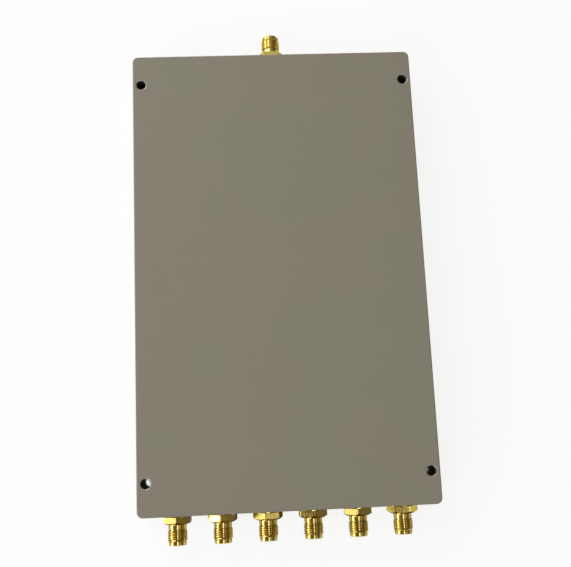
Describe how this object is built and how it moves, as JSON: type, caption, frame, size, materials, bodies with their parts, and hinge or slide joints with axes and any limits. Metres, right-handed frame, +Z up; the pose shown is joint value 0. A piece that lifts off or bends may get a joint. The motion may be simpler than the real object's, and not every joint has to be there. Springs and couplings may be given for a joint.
{
  "type": "rf power splitter",
  "caption": "Flat grey metal box with one coaxial jack on its input edge and a row of coaxial jacks on its output edge, which divides one radio signal among them.",
  "frame": {"origin": "middle of the cover's outer side, on which the box lies", "axes": "+Z up, out of the plain face; +Y towards the input jack; outputs count up towards +X"},
  "size_m": [0.1, 0.1792, 0.0135],
  "materials": {
    "grey_paint": "matte",
    "gold": "gloss",
    "ptfe": "matte",
    "steel": "satin",
    "laminate": "satin",
    "copper": "satin",
    "chip": "satin"
  },
  "bodies": {
    "root": {"housing": "grey_paint", "cover": "grey_paint", "cover_screws": "steel", "board_screws": "steel", "circuit_board": "laminate", "copper_network": "copper", "isolation_resistor_1": "chip", "isolation_resistor_2": "chip", "isolation_resistor_3": "chip", "isolation_resistor_4": "chip", "isolation_resistor_5": "chip", "input_shell": "gold", "input_dielectric": "ptfe", "input_contact": "gold", "input_lock_washer": "gold", "output_1_shell": "gold", "output_1_dielectric": "ptfe", "output_1_contact": "gold", "output_1_lock_washer": "gold", "output_2_shell": "gold", "output_2_dielectric": "ptfe", "output_2_contact": "gold", "output_2_lock_washer": "gold", "output_3_shell": "gold", "output_3_dielectric": "ptfe", "output_3_contact": "gold", "output_3_lock_washer": "gold", "output_4_shell": "gold", "output_4_dielectric": "ptfe", "output_4_contact": "gold", "output_4_lock_washer": "gold", "output_5_shell": "gold", "output_5_dielectric": "ptfe", "output_5_contact": "gold", "output_5_lock_washer": "gold", "output_6_shell": "gold", "output_6_dielectric": "ptfe", "output_6_contact": "gold", "output_6_lock_washer": "gold"}
  },
  "joints": []
}
